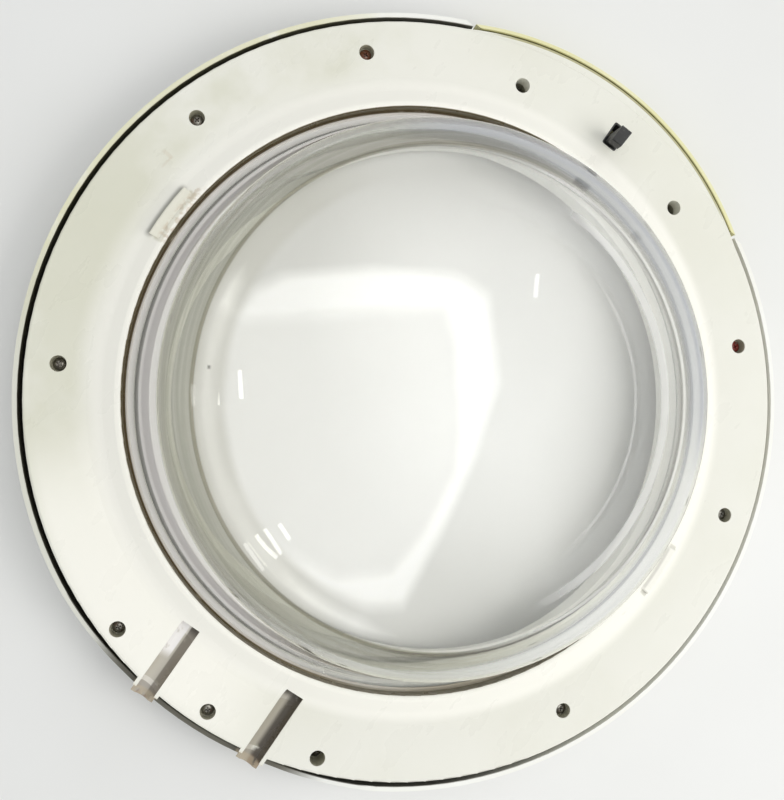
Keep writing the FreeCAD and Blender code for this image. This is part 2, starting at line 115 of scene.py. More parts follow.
class Graph:
    """Shader nodes of one finish, with the fields that its dirt and wear are drawn from."""

    def __init__(self, name: str) -> None:
        """Start a material with one shader.

        Args:
            name: name of the material.
        """
        self.material = bpy.data.materials.new(name)
        self.material.use_nodes = True
        self.nodes = self.material.node_tree.nodes
        self.links = self.material.node_tree.links
        self.nodes.clear()
        self.shader = self.nodes.new("ShaderNodeBsdfPrincipled")
        self.output = self.nodes.new("ShaderNodeOutputMaterial")
        self.links.new(self.shader.outputs["BSDF"], self.output.inputs["Surface"])
        self.place = self.nodes.new("ShaderNodeTexCoord").outputs["Object"]
        parts = self.nodes.new("ShaderNodeSeparateXYZ")
        self.links.new(self.place, parts.inputs[0])
        self.east, self.north, self.height = (parts.outputs[axis] for axis in "XYZ")
        self.flat = self.vector("MULTIPLY", self.place, (1.0, 1.0, 0.0)).outputs["Vector"]
        self.radius = self.vector("LENGTH", self.flat).outputs["Value"]
        self.outward = self.vector("NORMALIZE", self.flat).outputs["Vector"]

    def feed(self, socket: Socket, value: object) -> None:
        """Link a socket, or set it where the value is a plain one.

        Args:
            socket: input of a node.
            value: another node's output, a number or a tuple.
        """
        if isinstance(value, bpy.types.NodeSocket):
            self.links.new(value, socket)
        else:
            socket.default_value = value

    def vector(self, operation: str, first: object, second: object = None) -> bpy.types.Node:
        """Add one step of vector arithmetic.

        Args:
            operation: name of the vector operation.
            first: first vector.
            second: second vector, where the operation takes one.

        Returns:
            The node.
        """
        node = self.nodes.new("ShaderNodeVectorMath")
        node.operation = operation
        self.feed(node.inputs[0], first)
        if second is not None:
            self.feed(node.inputs[1], second)
        return node

    def times(self, first: object, second: object) -> Socket:
        """Multiply two numbers.

        Args:
            first: first number or output.
            second: second number or output.

        Returns:
            The product.
        """
        node = self.nodes.new("ShaderNodeMath")
        node.operation = "MULTIPLY"
        self.feed(node.inputs[0], first)
        self.feed(node.inputs[1], second)
        return node.outputs[0]

    def ramp(self, value: Socket, start: float, end: float,
             low: float = 0.0, high: float = 1.0) -> Socket:
        """Go smoothly from one level to another.

        Args:
            value: field to read.
            start: where the low level ends.
            end: where the high level starts.
            low: first level.
            high: second level.

        Returns:
            The level.
        """
        node = self.nodes.new("ShaderNodeMapRange")
        node.interpolation_type = "SMOOTHSTEP"
        self.feed(node.inputs["Value"], value)
        node.inputs["From Min"].default_value = start
        node.inputs["From Max"].default_value = end
        node.inputs["To Min"].default_value = low
        node.inputs["To Max"].default_value = high
        return node.outputs["Result"]

    def noise(self, scale: float, detail: float, stretch: Place = (1.0, 1.0, 1.0)) -> Socket:
        """Add a cloudy field.

        Args:
            scale: waves to a metre.
            detail: number of finer layers.
            stretch: scale along each axis.

        Returns:
            A level about one half.
        """
        node = self.nodes.new("ShaderNodeTexNoise")
        node.inputs["Scale"].default_value = scale
        node.inputs["Detail"].default_value = detail
        stretched = self.vector("MULTIPLY", self.place, stretch)
        self.feed(node.inputs["Vector"], stretched.outputs["Vector"])
        return node.outputs["Fac"]

    def clouds(self, grain: float, cover: float) -> Socket:
        """Break a patch up into clouds.

        Args:
            grain: clouds to a metre.
            cover: how much they cover, from none at 0 to nearly all at 1.

        Returns:
            One on a cloud and nothing beside it.
        """
        lower = cover * CLOUD_REACH
        return self.ramp(self.noise(grain, CLOUD_DETAIL), CLOUD_START - lower, CLOUD_END - lower)

    def rings(self, scale: float, detail: float = 4.0) -> Socket:
        """Add a field of fine rings round the door, which the glass's streaks of painted shade are drawn
        from.

        Args:
            scale: rings to a metre.
            detail: number of finer layers.

        Returns:
            A level about one half.
        """
        join = self.nodes.new("ShaderNodeCombineXYZ")
        self.feed(join.inputs["X"], self.times(self.radius, scale))
        self.feed(join.inputs["Y"], self.times(self.height, scale))
        node = self.nodes.new("ShaderNodeTexNoise")
        node.inputs["Scale"].default_value = 1.0
        node.inputs["Detail"].default_value = detail
        place = self.vector("ADD", join.outputs[0], self.outward)
        self.feed(node.inputs["Vector"], place.outputs["Vector"])
        return node.outputs["Fac"]

    def reach(self, east: float) -> Socket:
        """Measure how far a point lies from an upright line through the X axis.

        Args:
            east: where the line stands on that axis, in metres.

        Returns:
            The distance in metres.
        """
        away = self.vector("SUBTRACT", self.flat, (east, 0.0, 0.0)).outputs["Vector"]
        return self.vector("LENGTH", away).outputs["Value"]

    def within(self, value: Socket, window: Span, feather: float) -> Socket:
        """Mark where a length lies in a window.

        Args:
            value: length to read, in metres.
            window: both ends of the window, in millimetres.
            feather: width of the soft edge outside it, in millimetres.

        Returns:
            One inside and nothing outside.
        """
        low, high = window
        return self.times(self.ramp(value, (low - feather) * MM, low * MM),
                          self.ramp(value, high * MM, (high + feather) * MM, 1.0, 0.0))

    def towards(self, heading: float, spread: float, feather: float) -> Socket:
        """Mark a sector of the door.

        Args:
            heading: middle of the sector, in degrees from X.
            spread: half of the sector, in degrees.
            feather: soft edge outside it, in degrees.

        Returns:
            One inside and nothing outside.
        """
        aim = (math.cos(math.radians(heading)), math.sin(math.radians(heading)), 0.0)
        facing = self.vector("DOT_PRODUCT", self.outward, aim).outputs["Value"]
        return self.ramp(facing, math.cos(math.radians(min(spread + feather, 180.0))),
                         math.cos(math.radians(spread)))

    def mix(self, share: object, first: object, second: object) -> Socket:
        """Blend two colours.

        Args:
            share: how much of the second one shows.
            first: colour or output.
            second: colour or output.

        Returns:
            The blended colour.
        """
        node = self.nodes.new("ShaderNodeMix")
        node.data_type = "RGBA"
        self.feed(node.inputs[0], share)
        for socket, value in ((node.inputs[6], first), (node.inputs[7], second)):
            self.feed(socket, value if isinstance(value, bpy.types.NodeSocket) else (*value, 1.0))
        return node.outputs[2]

    def bump(self, relief: Socket, strength: float, depth: float) -> None:
        """Roughen the surface.

        Args:
            relief: height of the surface.
            strength: how strongly it shows.
            depth: depth in metres.
        """
        node = self.nodes.new("ShaderNodeBump")
        node.inputs["Strength"].default_value = strength
        node.inputs["Distance"].default_value = depth
        self.feed(node.inputs["Height"], relief)
        self.links.new(node.outputs["Normal"], self.shader.inputs["Normal"])


@dataclass(frozen=True)
class Mottle:
    """A cloudy field that is read between two of its levels."""

    scale: float
    detail: float
    start: float
    end: float
    stretch: Place = (1.0, 1.0, 1.0)

    def level(self, graph: Graph, low: float = 0.0, high: float = 1.0) -> Socket:
        """Draw the field.

        Args:
            graph: nodes of the finish.
            low: what it gives up to its first level.
            high: what it gives from its second level on.

        Returns:
            What it gives.
        """
        clouds = graph.noise(self.scale, self.detail, self.stretch)
        return graph.ramp(clouds, self.start, self.end, low, high)


@dataclass(frozen=True)
class Relief:
    """Fine unevenness of a surface, with its depth in metres."""

    scale: float
    detail: float
    depth: float

    def roughen(self, graph: Graph, strength: float) -> None:
        """Put the unevenness on a finish.

        Args:
            graph: nodes of the finish.
            strength: how strongly it shows.
        """
        graph.bump(graph.noise(self.scale, self.detail), strength, self.depth)


@dataclass(frozen=True)
class StainAndPaintedLight:
    """A patch of dirt, rust, yellowing, painted light or painted shade in a window of radius, heading
    and height.

    Lengths are in millimetres and angles in degrees. The radius is measured about a point of the X axis.
    """

    colour: Colour
    strength: float
    radius: Span = ANY_RADIUS
    edge: float = 4.0
    heading: float = 0.0
    spread: float = ALL_ROUND
    fade: float = 6.0
    height: Span = ANY_HEIGHT
    height_edge: float = 1.0
    grain: float = 60.0
    cover: float = EVEN
    about: float = 0.0

    def cover_field(self, graph: Graph) -> Socket:
        """Draw where the patch lies.

        Args:
            graph: nodes of the finish.

        Returns:
            How much of the stain shows.
        """
        reach = graph.reach(self.about * MM) if self.about else graph.radius
        share = graph.within(reach, self.radius, self.edge)
        if self.spread < ALL_ROUND:
            share = graph.times(share, graph.towards(self.heading, self.spread, self.fade))
        if self.height != ANY_HEIGHT:
            share = graph.times(share, graph.within(graph.height, self.height, self.height_edge))
        if self.cover < EVEN:
            share = graph.times(share, graph.clouds(self.grain, self.cover))
        return graph.times(share, self.strength)


@dataclass(frozen=True)
class SmearAndPaintedShade:
    """A smear of dirt, or a strip of painted shade, in a straight window along X and Y and up to a
    height (millimetres).
    """

    colour: Colour
    strength: float
    east: Span
    north: Span
    top: float = 35.5
    east_edge: float = 2.0
    north_edge: float = 1.0
    grain: float = 120.0
    cover: float = 1.1
    top_edge: float = 0.4

    def cover_field(self, graph: Graph) -> Socket:
        """Draw where the patch lies.

        Args:
            graph: nodes of the finish.

        Returns:
            How much of the smear shows.
        """
        fade_start = (self.top - self.top_edge) * MM
        share = graph.ramp(graph.height, fade_start, self.top * MM, self.strength, 0.0)
        for axis, window, edge in ((graph.east, self.east, self.east_edge),
                                   (graph.north, self.north, self.north_edge)):
            share = graph.times(share, graph.within(axis, window, edge))
        return graph.times(share, graph.clouds(self.grain, self.cover))


@dataclass(frozen=True)
class MouldedPlastic:
    """Moulded plastic: cloudy colour, stained patches and patches of painted light and shade, uneven
    gloss and a faint orange-peel skin.
    """

    name: str
    colour: Colour
    aged: Colour
    gloss: Span = (0.24, 0.42)
    peel: float = 0.12
    stains_and_painted_light: tuple[StainAndPaintedLight | SmearAndPaintedShade, ...] = ()
    ageing: Mottle = Mottle(9.0, 6.0, 0.35, 0.7)
    handling: Mottle = Mottle(26.0, 7.0, 0.3, 0.7, (1.0, 2.4, 1.0))
    skin: Relief = Relief(900.0, 3.0, 0.0002)
    index: float = 1.5

    def make(self) -> bpy.types.Material:
        """Build the material.

        Returns:
            The material.
        """
        graph = Graph(self.name)
        colour = graph.mix(self.ageing.level(graph), self.colour, self.aged)
        for stain in self.stains_and_painted_light:
            colour = graph.mix(stain.cover_field(graph), colour, stain.colour)
        graph.feed(graph.shader.inputs["Base Color"], colour)
        graph.feed(graph.shader.inputs["Roughness"], self.handling.level(graph, *self.gloss))
        graph.shader.inputs["IOR"].default_value = self.index
        self.skin.roughen(graph, self.peel)
        return graph.material


@dataclass(frozen=True)
class PaintedStreakShade:
    """Streaky rings of painted shade on the side of the glass (millimetres, degrees)."""

    colour: Colour
    height: Span
    radius: float = 137.0
    edge: float = 5.0
    heading: float = -65.0
    spread: float = 85.0
    fade: float = 60.0
    between: float = 0.45
    height_edge: float = 6.0
    line_levels: Span = (0.3, 0.6)

    def cover_field(self, graph: Graph, rings: Socket) -> Socket:
        """Draw where the streaks lie.

        Args:
            graph: nodes of the finish.
            rings: field of fine rings.

        Returns:
            How much of the film shows.
        """
        lines = graph.ramp(rings, *self.line_levels, self.between, 1.0)
        outside = graph.ramp(graph.radius, (self.radius - self.edge) * MM, self.radius * MM)
        share = graph.times(graph.within(graph.height, self.height, self.height_edge), outside)
        share = graph.times(share, graph.towards(self.heading, self.spread, self.fade))
        return graph.times(share, lines)


@dataclass(frozen=True)
class PressedGlass:
    """Pressed glass: clear, a little green, with smudges, pale marks, streaks of painted shade and
    patches of painted light.
    """

    name: str
    colour: Colour
    haze: Colour
    depth_colour: Colour
    depth_density: float
    index: float = 1.5
    painted_streak_shades: tuple[PaintedStreakShade, ...] = ()
    smudges: tuple[StainAndPaintedLight, ...] = ()
    scale: tuple[StainAndPaintedLight, ...] = ()
    hazing: Mottle = Mottle(14.0, 3.0, 0.45, 0.8)
    wiping: Mottle = Mottle(30.0, 4.0, 0.5, 0.85, (1.0, 1.0, 3.0))
    wiped_roughness: float = 0.045
    ring_scale: float = 420.0
    waves: Relief = Relief(16.0, 2.0, 0.001)
    wave_strength: float = 0.05

    def make(self) -> bpy.types.Material:
        """Build the material.

        Returns:
            The material.
        """
        graph = Graph(self.name)
        colour = graph.mix(self.hazing.level(graph), self.colour, self.haze)
        rings = graph.rings(self.ring_scale)
        for streak_shade in self.painted_streak_shades:
            colour = graph.mix(streak_shade.cover_field(graph, rings), colour, streak_shade.colour)
        for smudge in self.smudges:
            colour = graph.mix(smudge.cover_field(graph), colour, smudge.colour)
        clear: object = 1.0
        for mark in self.scale:
            share = mark.cover_field(graph)
            colour = graph.mix(share, colour, mark.colour)
            clear = graph.times(clear, graph.ramp(share, 0.0, 1.0, 1.0, 0.0))
        graph.feed(graph.shader.inputs["Base Color"], colour)
        graph.feed(graph.shader.inputs["Transmission Weight"], clear)
        graph.feed(graph.shader.inputs["Roughness"], self.wiping.level(graph, 0.0, self.wiped_roughness))
        graph.shader.inputs["IOR"].default_value = self.index
        depth = graph.nodes.new("ShaderNodeVolumeAbsorption")
        depth.inputs["Color"].default_value = (*self.depth_colour, 1.0)
        depth.inputs["Density"].default_value = self.depth_density
        graph.links.new(depth.outputs["Volume"], graph.output.inputs["Volume"])
        self.waves.roughen(graph, self.wave_strength)
        return graph.material


@dataclass(frozen=True)
class PlatedSteel:
    """Plated steel: grey with dull and bright patches, and rust where it has started."""

    name: str
    colour: Colour
    dull: Colour
    roughness: Span = (0.22, 0.5)
    rust: tuple[StainAndPaintedLight, ...] = ()
    dulling: Mottle = Mottle(420.0, 5.0, 0.35, 0.7)
    plating: Mottle = Mottle(240.0, 2.0, 0.0, 1.0)
    worn_metal: float = 0.9
    rusty_metal: float = 0.1
    scuffing: Mottle = Mottle(300.0, 6.0, 0.3, 0.7)
    grit: Relief = Relief(1600.0, 4.0, 0.0002)
    grit_strength: float = 0.15

    def make(self) -> bpy.types.Material:
        """Build the material.

        Returns:
            The material.
        """
        graph = Graph(self.name)
        colour = graph.mix(self.dulling.level(graph), self.colour, self.dull)
        bare = self.plating.level(graph, 1.0, self.worn_metal)
        for patch in self.rust:
            share = patch.cover_field(graph)
            colour = graph.mix(share, colour, patch.colour)
            bare = graph.times(bare, graph.ramp(share, 0.0, 1.0, 1.0, self.rusty_metal))
        graph.feed(graph.shader.inputs["Base Color"], colour)
        graph.feed(graph.shader.inputs["Metallic"], bare)
        graph.feed(graph.shader.inputs["Roughness"], self.scuffing.level(graph, *self.roughness))
        self.grit.roughen(graph, self.grit_strength)
        return graph.material


# Colours of dirt, rust and plastic, and of painted light and shade, that several finishes share.
GAP_DIRT_AND_SHADE = tone(52, 48, 34)
BROWN_DIRT_AND_SHADE = tone(92, 76, 46)
OLIVE_DIRT_AND_SHADE = tone(76, 72, 52)
RUST = tone(104, 56, 28)
RED_RUST = tone(120, 26, 16)
TAN = tone(188, 174, 148)
CREAM = tone(237, 236, 226)
CREAM_AGED = tone(231, 230, 217)
PAINTED_LIGHT_CREAM = tone(254, 252, 242)
PAINTED_LIGHT_WHITE = tone(255, 254, 250)
SPILL = tone(190, 168, 138)
PAD_SHADE = tone(196, 194, 182)
HANDLE_SHADE = tone(158, 152, 92)

# Headings of the two hinge channels (degrees).
CHANNELS = (-8.9, 8.9)
# Centre of the handle's inner edge on the X axis (millimetres).
HANDLE_CENTRE = -39.4
# Heights of the pads' sides, of the glass face and of its rounded crown (millimetres).
PAD_SIDE = (30, 43)
GLASS_FACE = (105.4, 112)
GLASS_CROWN = (100, 112)

# Dirt, rust and painted shade in and round the two hinge channels.
CHANNEL_DIRT_AND_SHADE = (
    SmearAndPaintedShade(tone(206, 199, 190), 0.6, (184, 236), (-43, -30)),
    # Painted shade with dirt: a dark strip along the shaded side of the first channel.
    SmearAndPaintedShade(tone(118, 109, 96), 0.82, (184, 232), (-34.4, -30), cover=1.15),
    SmearAndPaintedShade(tone(70, 64, 54), 0.8, (182, 187), (-34.4, -30), east_edge=5.0),
    SmearAndPaintedShade(tone(255, 253, 251), 0.95, (187, 203), (-43, -36.6), east_edge=7.0, grain=200, cover=1.0),
    SmearAndPaintedShade(tone(178, 171, 158), 0.75, (184, 236), (30, 43)),
    # Painted shade with dirt: a dark strip along the shaded side of the second channel.
    SmearAndPaintedShade(tone(72, 64, 53), 0.92, (184, 232), (38, 43), north_edge=3.5, cover=1.15),
    SmearAndPaintedShade(tone(78, 70, 60), 0.8, (182, 187), (30, 43), east_edge=4.0, north_edge=2.5),
    SmearAndPaintedShade(RUST, 0.7, (231, 236), (37, 43), east_edge=4.0, grain=260, cover=0.8),
    SmearAndPaintedShade(RUST, 0.5, (233, 236), (-43, -30), east_edge=3.0, grain=300, cover=0.7),
    SmearAndPaintedShade(TAN, 0.6, (230, 236), (-48, -25), 38, grain=260, cover=0.95),
    SmearAndPaintedShade(TAN, 0.6, (230, 236), (25, 48), 38, grain=260, cover=0.95),
)
BACK_PLASTIC = MouldedPlastic(
    "cream_back_ring", CREAM, CREAM_AGED,
    stains_and_painted_light=(
        StainAndPaintedLight(tone(205, 205, 180), 0.5, (205, 232), 12, -88, 40, 25, grain=14, cover=0.75),
        # Painted light: the collar, and a patch of the ring round heading -20, are painted paler where
        # more light falls.
        StainAndPaintedLight(PAINTED_LIGHT_CREAM, 0.85, (172, 188), 8),
        StainAndPaintedLight(PAINTED_LIGHT_CREAM, 0.8, (190, 222), 14, -20, 14, 20),
        StainAndPaintedLight(tone(226, 224, 207), 0.8, (178, 187), 1, -90, 5.3, 0.5, (41, 42.6), 1, 40, 1.2),
        # Painted shadow along the outer side of the first pad.
        StainAndPaintedLight(tone(118, 116, 106), 0.75, (186.4, 187), 3.2, -90, 4.4, 1.6, (30, 41.2), 0.6),
        StainAndPaintedLight(tone(178, 148, 108), 0.4, (176, 180), 2.5, -91, 5, 2, grain=300, cover=0.66),
        StainAndPaintedLight(SPILL, 0.2, (204, 209), 2, -97.6, 0.1, 0.35, grain=160, cover=1.0),
        StainAndPaintedLight(SPILL, 0.18, (203.4, 203.8), 0.9, -96.6, 0.8, 0.6, grain=160, cover=1.0),
        # Painted shade: soft grey lines round the sides and ends of the second pad.
        StainAndPaintedLight(PAD_SHADE, 0.6, (180.6, 181.6), 1.4, 90, 4.2, 1.2, (40, 43), 1),
        StainAndPaintedLight(PAD_SHADE, 0.6, (186.6, 187), 1.2, 90, 4.6, 1.0, PAD_SIDE, 1),
        StainAndPaintedLight(PAD_SHADE, 0.6, (182, 187), 1, 84.7, 0.15, 0.45, PAD_SIDE, 1),
        StainAndPaintedLight(PAD_SHADE, 0.6, (182, 187), 1, 95.3, 0.15, 0.45, PAD_SIDE, 1),
        # Dirt and painted shade: the collar's inner wall and its edge are painted dark brown round
        # headings -115 and -40.
        StainAndPaintedLight(BROWN_DIRT_AND_SHADE, 0.92, (174, 175.6), 0.4, -115, 60, 45, (30, 42.6), 0.5, 50, 1.25),
        StainAndPaintedLight(tone(92, 82, 54), 0.9, (174.4, 175.3), 0.4, -40, 135, 25, (36, 45), 1),
        StainAndPaintedLight(tone(168, 164, 140), 0.8, (195, 226), 0.2, 0, 148, 4, (0, 35.2), 0.3, 90, 1.2),
        StainAndPaintedLight(HANDLE_SHADE, 0.8, (194.3, 197), 0.4, 180, 20, 6, grain=40, cover=1.2,
              about=HANDLE_CENTRE),
        # Painted shade: the latch wells are painted darker towards the bottom.
        StainAndPaintedLight(tone(104, 100, 80), 0.8, (195, 215), 0.2, 180, 22, 4, (0, 26), 1.5),
        # Dirt and painted shade on the back ring's skirt in the gap at the hinge.
        StainAndPaintedLight(OLIVE_DIRT_AND_SHADE, 0.9, (229.2, 240), 0.3, 0, 26, 6, (0, 34.8), 0.6, 80, 1.3),
    ) + CHANNEL_DIRT_AND_SHADE)
FRONT_PLASTIC = MouldedPlastic(
    "white_front_ring", tone(246, 246, 241), tone(240, 239, 230), (0.34, 0.5), 0.06,
    stains_and_painted_light=(
        StainAndPaintedLight(tone(214, 211, 158), 0.6, (231, 240), 1, -100, 25, 20, (26, 40), 2, 30, 0.9),
        StainAndPaintedLight(tone(198, 198, 182), 0.6, (231, 240), 1, -46, 18, 18, (26, 40), 2, 30, 1.2),
        # Dirt and painted shade: the inside of the gap under the lip is painted near black round heading
        # -60.
        StainAndPaintedLight(GAP_DIRT_AND_SHADE, 0.92, (200, 232.6), 0.4, -60, 95, 35, (4, 32.6), 1, 60, 1.3),
        # Dirt and painted shade on the lowered rim at the hinge, where the lip sits in shade.
        StainAndPaintedLight(OLIVE_DIRT_AND_SHADE, 0.92, (228, 240), 0.8, 0, 13, 8, (8, 31), 2, 80, 1.3),
    ) + tuple(StainAndPaintedLight(TAN, 0.8, (233.6, 240), 0.8, heading, 1.7, 0.4, grain=220, cover=0.95)
              for heading in CHANNELS)
    + tuple(StainAndPaintedLight(tone(176, 166, 152), 0.6, (226, 233), 1, heading, 1.7, 0.4, grain=160, cover=1.1)
            for heading in CHANNELS))
HANDLE_PLASTIC = MouldedPlastic(
    "yellowed_handle", tone(240, 237, 200), tone(230, 226, 172), (0.2, 0.38),
    stains_and_painted_light=(
        StainAndPaintedLight(HANDLE_SHADE, 0.8, (100, 197.5), 0.4, height=(17, 60), height_edge=4, about=HANDLE_CENTRE),
    ))
HOOK_PLASTIC = MouldedPlastic(
    "black_hook", tone(28, 28, 27), tone(44, 44, 42), (0.3, 0.55), 0.3,
    # Light grey speckles on the hook's top: wear, and painted glints.
    stains_and_painted_light=(StainAndPaintedLight(tone(120, 118, 112), 0.5, (190, 215), 2, 180, 4, 1, (46, 58), 1, 700, 0.3),))
GLASS = PressedGlass(
    "clear_glass", (0.94, 0.941, 0.925), (0.92, 0.922, 0.906), (0.5, 0.56, 0.4), 5.0,
    painted_streak_shades=(
        # Painted shade in streaky rings on the glass walls and crown; the third, lilac band is a painted
        # reflection.
        PaintedStreakShade((0.85, 0.845, 0.835), (40, 70)),
        PaintedStreakShade((0.63, 0.63, 0.56), (78, 104)),
        PaintedStreakShade((0.62, 0.63, 0.67), (80, 106), 142.5, 1.5, 168, 42, 22, 0.8),
    ),
    smudges=(
        StainAndPaintedLight(tone(90, 90, 86), 0.85, (136, 139), 0.8, -176.5, 1.6, 0.6, (95, 112), 2),
        StainAndPaintedLight(tone(100, 100, 96), 0.82, (136.5, 139), 0.8, 166, 0.9, 0.5, (90, 112), 2),
        StainAndPaintedLight(tone(70, 66, 54), 0.8, (127, 127.6), 0.9, -61.5, 0.15, 0.45, GLASS_CROWN, 2),
        StainAndPaintedLight(tone(146, 142, 118), 0.8, (134.5, 135.8), 0.7, -100, 130, 40, GLASS_CROWN, 2),
        StainAndPaintedLight(tone(222, 220, 208), 0.6, (122, 134), 6, -58, 45, 30, (105.2, 112), 0.5),
        StainAndPaintedLight(tone(222, 222, 217), 0.6, (132.5, 141), 2, 137, 35, 20, GLASS_CROWN, 2),
    ),
    scale=(
        StainAndPaintedLight(tone(244, 241, 236), 0.7, (169.6, 173), 0.5, -85, 80, 40, (34, 36.4), 0.5),
        # Painted shade: a dark grey line on the rounding at the root of the glass.
        StainAndPaintedLight(tone(92, 92, 86), 0.8, (166.4, 168.6), 0.6, -85, 80, 40, (35, 44), 2),
        StainAndPaintedLight(tone(250, 246, 246), 0.68, (152.5, 165.6), 1.5, -85, 75, 40, (46, 90), 6),
        # Painted light: pale, partly opaque arcs and a wide patch lighten the right side of the face.
        StainAndPaintedLight(tone(246, 246, 242), 0.25, (108, 132), 10, 130, 50, 40, GLASS_FACE, 0.5),
        StainAndPaintedLight(PAINTED_LIGHT_WHITE, 0.4, (118.5, 121.5), 2, 122, 48, 25, GLASS_FACE, 0.5),
        StainAndPaintedLight(PAINTED_LIGHT_WHITE, 0.3, (102, 102.6), 1.5, 118, 30, 25, GLASS_FACE, 0.5),
        StainAndPaintedLight(PAINTED_LIGHT_WHITE, 0.4, (131.6, 132.4), 1, 122, 60, 25, GLASS_FACE, 0.5),
    ))
SCREW_STEEL = PlatedSteel(
    "plated_screws", tone(138, 136, 128), tone(92, 88, 80),
    rust=(
        StainAndPaintedLight(RUST, 0.95, (206, 217), 1, -135, 1.6, 0.4, grain=500, cover=0.95),
        StainAndPaintedLight(RED_RUST, 0.95, (206, 217), 1, 135, 1.6, 0.4, grain=500, cover=0.9),
        StainAndPaintedLight(RUST, 0.5, grain=300, cover=0.45),
    ))
PIN_STEEL = PlatedSteel("pin_steel", tone(170, 168, 162), tone(140, 138, 132), (0.18, 0.4))
SPRING_STEEL = PlatedSteel("spring_steel", tone(150, 150, 150), tone(112, 110, 106), (0.16, 0.35))
SCALE_CRUST = MouldedPlastic(
    "scale_crust", tone(214, 208, 194), tone(176, 164, 138), (0.6, 0.85), 0.6,
    stains_and_painted_light=(
        # Dirt and painted shade where the crust meets the collar's inner wall.
        StainAndPaintedLight(BROWN_DIRT_AND_SHADE, 0.92, (174.0, 176), 0.5, -120, 110, 50, grain=60, cover=1.1),
        StainAndPaintedLight(tone(246, 243, 238), 0.7, (170, 173.6), 0.5, -85, 85, 45),
    ))


class Section:
    """Half section of a turned piece, drawn in the XZ plane and spun about Z."""

    def __init__(self, radius: float, height: float) -> None:
        """Start the section.

        Args:
            radius: first point from the axis, in millimetres.
            height: its height.
        """
        self.mesh = bmesh.new()
        self.last = self.mesh.verts.new((radius * MM, 0.0, height * MM))
        self.rounds: list[tuple[bmesh.types.BMVert, float, int]] = []

    def line(self, radius: float, height: float, rounding: float = 0.0, segments: int = 6) -> "Section":
        """Draw a straight line.

        Args:
            radius: its end from the axis.
            height: its end's height.
            rounding: radius of the corner at its end.
            segments: facets of that corner.

        Returns:
            The section.
        """
        made = bmesh.ops.extrude_vert_indiv(self.mesh, verts=[self.last])["verts"][0]
        made.co = (radius * MM, 0.0, height * MM)
        self.last = made
        if rounding > 0.0:
            self.rounds.append((made, rounding * MM, segments))
        return self

    def arc(self, centre: float, angle: float, steps: int) -> "Section":
        """Draw an arc about a point of the axis.

        Args:
            centre: height of the arc's centre.
            angle: how far it turns, in degrees, up when positive.
            steps: facets of the arc.

        Returns:
            The section.
        """
        made = bmesh.ops.spin(self.mesh, geom=[self.last], cent=(0.0, 0.0, centre * MM),
                              axis=Axis.Y.value, angle=math.radians(-angle), steps=steps,
                              use_duplicate=False)
        self.last = next(item for item in made["geom_last"] if isinstance(item, bmesh.types.BMVert))
        return self

    def close(self) -> None:
        """Join the end to the start."""
        self.mesh.verts.ensure_lookup_table()
        self.mesh.edges.new((self.last, self.mesh.verts[0]))

    def spun(self, steps: int) -> bmesh.types.BMesh:
        """Round the corners and spin the section.

        Args:
            steps: facets round the axis.

        Returns:
            The closed mesh.
        """
        for corner, radius, segments in self.rounds:
            before, after = (edge.other_vert(corner).co - corner.co for edge in corner.link_edges)
            turn = math.pi - before.angle(after)
            bmesh.ops.bevel(self.mesh, geom=[corner], offset=radius * math.tan(turn / 2),
                            offset_type="OFFSET", segments=segments, profile=0.5, affect="VERTICES",
                            material=-1)
        bmesh.ops.spin(self.mesh, geom=self.mesh.verts[:] + self.mesh.edges[:], cent=(0.0, 0.0, 0.0),
                       axis=Axis.Z.value, angle=math.tau, steps=steps, use_merge=True,
                       use_duplicate=False)
        bmesh.ops.remove_doubles(self.mesh, verts=self.mesh.verts[:], dist=MERGE)
        bmesh.ops.recalc_face_normals(self.mesh, faces=self.mesh.faces[:])
        return self.mesh


class Piece:
    """A finished mesh object."""

    def __init__(self, name: str, mesh: bmesh.types.BMesh, sharp: float = 32.0) -> None:
        """Turn a mesh into an object.

        Args:
            name: name of the piece.
            mesh: its shape, freed here.
            sharp: angle from which an edge stays sharp, in degrees.
        """
        data = bpy.data.meshes.new(name)
        mesh.to_mesh(data)
        mesh.free()
        data.shade_smooth()
        data.set_sharp_from_angle(angle=math.radians(sharp))
        self.item = bpy.data.objects.new(name, data)
        bpy.context.scene.collection.objects.link(self.item)

    def wear(self, material: bpy.types.Material, slot: str, *nodes: str) -> "Piece":
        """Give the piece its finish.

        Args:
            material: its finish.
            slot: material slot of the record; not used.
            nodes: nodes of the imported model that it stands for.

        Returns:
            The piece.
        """
        self.item.data.materials.clear()
        self.item.data.materials.append(material)
        if nodes:
            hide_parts(*nodes)
        LOG.info("%s: %d faces", self.item.name, len(self.item.data.polygons))
        return self

    def dress(self, material: bpy.types.Material, body: Body, slot: str, *nodes: str) -> "Piece":
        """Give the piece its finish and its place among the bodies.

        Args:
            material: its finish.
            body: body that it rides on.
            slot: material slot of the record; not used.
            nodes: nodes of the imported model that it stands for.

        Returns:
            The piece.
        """
        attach(self.item, body.value)
        return self.wear(material, slot, *nodes)


def dress_node(node: bpy.types.Object, material: bpy.types.Material) -> None:
    """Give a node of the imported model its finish.

    Args:
        node: the node's object.
        material: its finish.
    """
    node.data.materials.clear()
    node.data.materials.append(material)
    LOG.info("%s wears %s", node.name, material.name)


@dataclass
class RingPair:
    """Front ring and back ring that clamp the glass."""

    nodes: dict[str, bpy.types.Object]

    def build(self) -> None:
        """Dress both rings."""
        dress_node(self.nodes["front_ring"], FRONT_PLASTIC.make())
        dress_node(self.nodes["back_ring"], BACK_PLASTIC.make())


